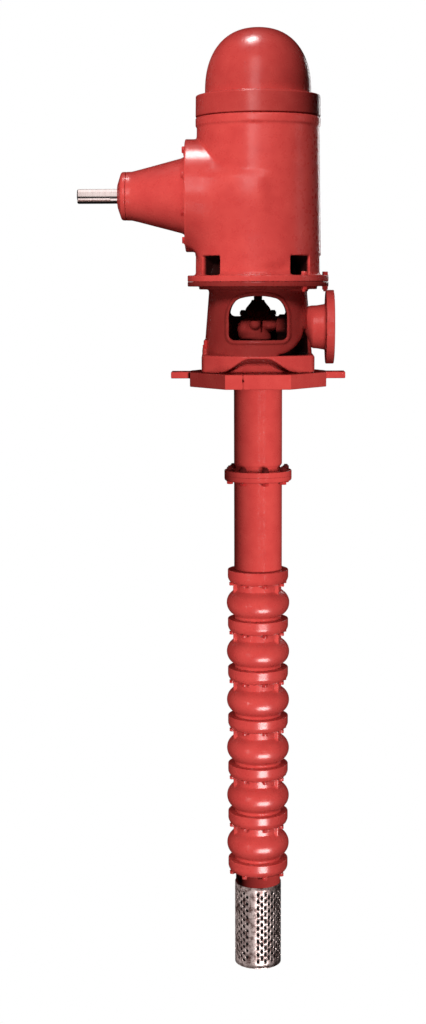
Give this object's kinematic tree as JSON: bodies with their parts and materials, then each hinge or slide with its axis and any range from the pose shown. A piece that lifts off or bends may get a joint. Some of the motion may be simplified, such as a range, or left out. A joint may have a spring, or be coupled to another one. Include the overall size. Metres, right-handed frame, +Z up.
{
  "type": "vertical turbine fire pump",
  "caption": "Vertical turbine fire pump with right-angle gear drive, windowed discharge head, flanged column, stacked pump bowls and perforated basket strainer.",
  "frame": {"origin": "on the underside of the base plate, on the pump's centre plane, 0.165 m in front of the vertical shaft's centreline", "axes": "+Z up along the pump shaft, +X out of the discharge flange, the input shaft points to -X, the shaft centreline stands at x = 0, y = 0.165 m"},
  "size_m": [0.924, 0.49, 3.3108],
  "materials": {
    "enamel": "glossy red enamel on cast iron",
    "pipe_enamel": "glossy red enamel on steel pipe",
    "steel": "bright turned steel",
    "strainer_steel": "bright perforated sheet"
  },
  "bodies": {
    "pump_frame": {"base_plate": "enamel", "discharge_head": "enamel", "stuffing_box": "enamel", "packing_gland": "enamel", "gear_housing": "enamel", "dome_cap": "enamel", "pinion_housing": "enamel", "pinion_end_cap": "enamel", "column_flange_upper": "enamel", "column_flange_lower": "enamel", "bowl_1": "enamel", "bowl_2": "enamel", "bowl_3": "enamel", "bowl_4": "enamel", "bowl_5": "enamel", "bowl_6": "enamel", "suction_case": "enamel", "column_pipe_upper": "pipe_enamel", "column_pipe_lower": "pipe_enamel", "gland_stud_left": "steel", "gland_stud_right": "steel", "strainer_shell": "strainer_steel", "strainer_bottom": "strainer_steel"},
    "input_shaft": {"input_shaft": "steel"},
    "head_shaft": {"head_shaft": "steel"}
  },
  "joints": [
    {"name": "input_shaft_spin", "type": "hinge", "parent": "pump_frame", "child": "input_shaft", "pos_m": [-0.5, 0.165, 0.652], "axis": [-1, 0, 0], "continuous": true},
    {"name": "head_shaft_spin", "type": "hinge", "parent": "pump_frame", "child": "head_shaft", "pos_m": [0, 0.165, 0.25], "axis": [0, 0, 1], "continuous": true}
  ],
  "couplings": [
    {"joint": "head_shaft_spin", "follows": "input_shaft_spin", "ratio": 1}
  ]
}
